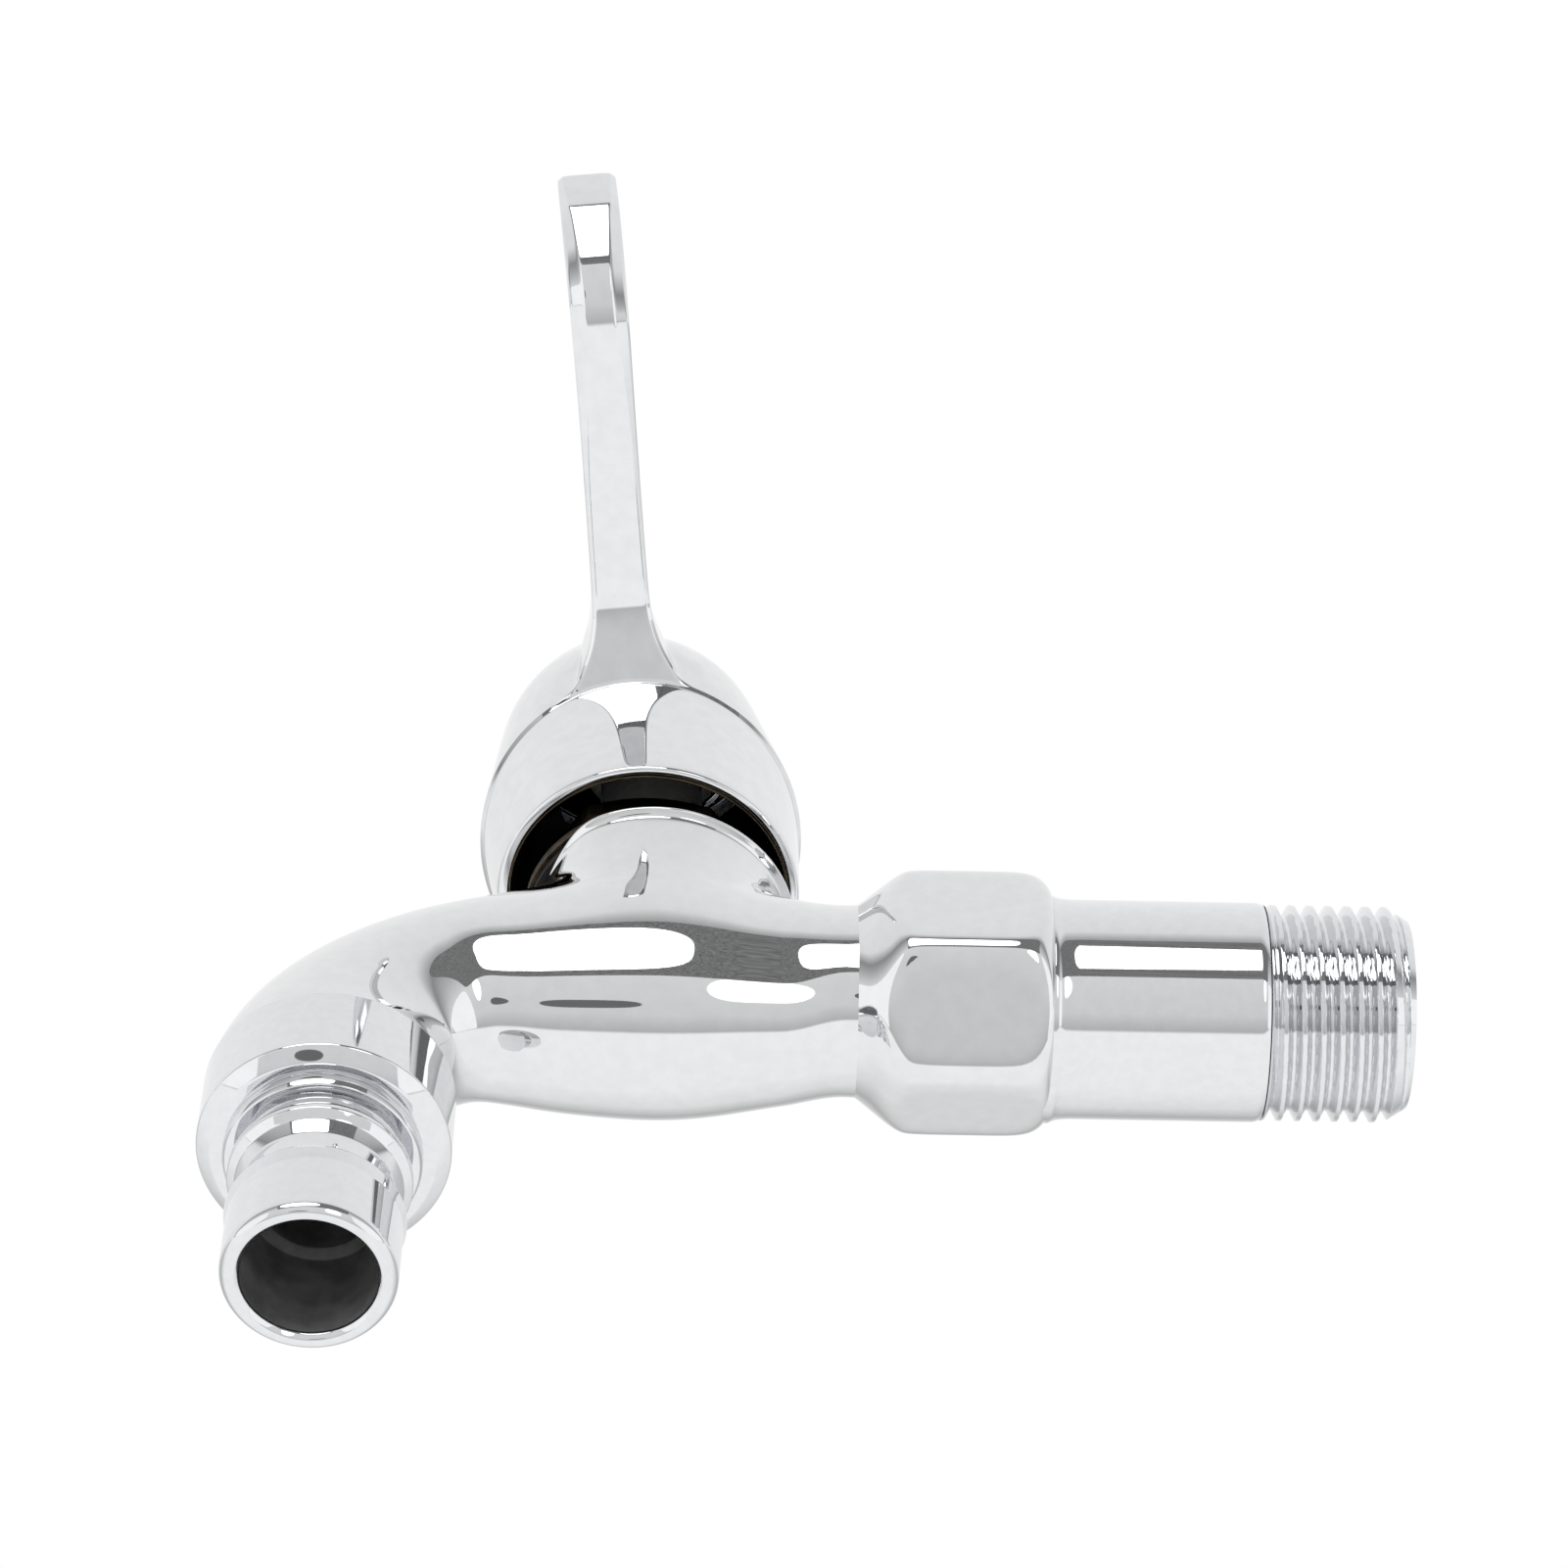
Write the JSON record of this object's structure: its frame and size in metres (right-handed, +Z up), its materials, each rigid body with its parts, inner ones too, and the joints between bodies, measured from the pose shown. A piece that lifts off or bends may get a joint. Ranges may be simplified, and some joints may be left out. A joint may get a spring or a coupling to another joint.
{
  "type": "lever wall tap",
  "caption": "Chromed lever wall tap: threaded inlet with spanner hexagon, ceramic-disc valve, turned-down spout and quick-connect hose nipple.",
  "frame": {"origin": "on the inlet axis, at the shoulder where the male inlet thread starts", "axes": "+X along the inlet into the wall, +Z up the valve spindle and away from the outlet, -Y is where the lever points when the tap is open"},
  "size_m": [0.115, 0.0768, 0.1044],
  "materials": {
    "body_chrome": "bright chrome plate on a brass casting",
    "nipple_chrome": "bright chrome plate on turned brass",
    "handle_chrome": "bright chrome plate on a zinc casting",
    "brass": "turned, bare",
    "black_rubber": "moulded rubber",
    "fibre": "pressed fibre",
    "ceramic": "lapped ceramic",
    "white_plastic": "moulded plastic",
    "steel": "stainless steel",
    "cap_plastic": "smooth moulded plastic"
  },
  "bodies": {
    "body": {"tap_body": "body_chrome", "hose_nipple": "nipple_chrome", "nipple_gasket": "black_rubber", "headwork_body": "brass", "headwork_gasket": "fibre", "seat_seal": "black_rubber", "seat_seal_ring": "white_plastic", "fixed_disc": "ceramic"},
    "lever_handle": {"handle": "handle_chrome", "spline_bush": "white_plastic", "handle_screw": "steel", "screw_washer": "steel", "index_cap": "cap_plastic", "spindle": "brass", "spindle_seal_lower": "black_rubber", "spindle_seal_upper": "black_rubber", "slip_ring": "white_plastic", "stop_ring": "brass", "spindle_clip": "steel", "moving_disc": "ceramic"}
  },
  "joints": [
    {"name": "handle_turn", "type": "hinge", "parent": "body", "child": "lever_handle", "pos_m": [-0.06, 0, 0], "axis": [0, 0, 1], "range_deg": [-86, 4]}
  ]
}
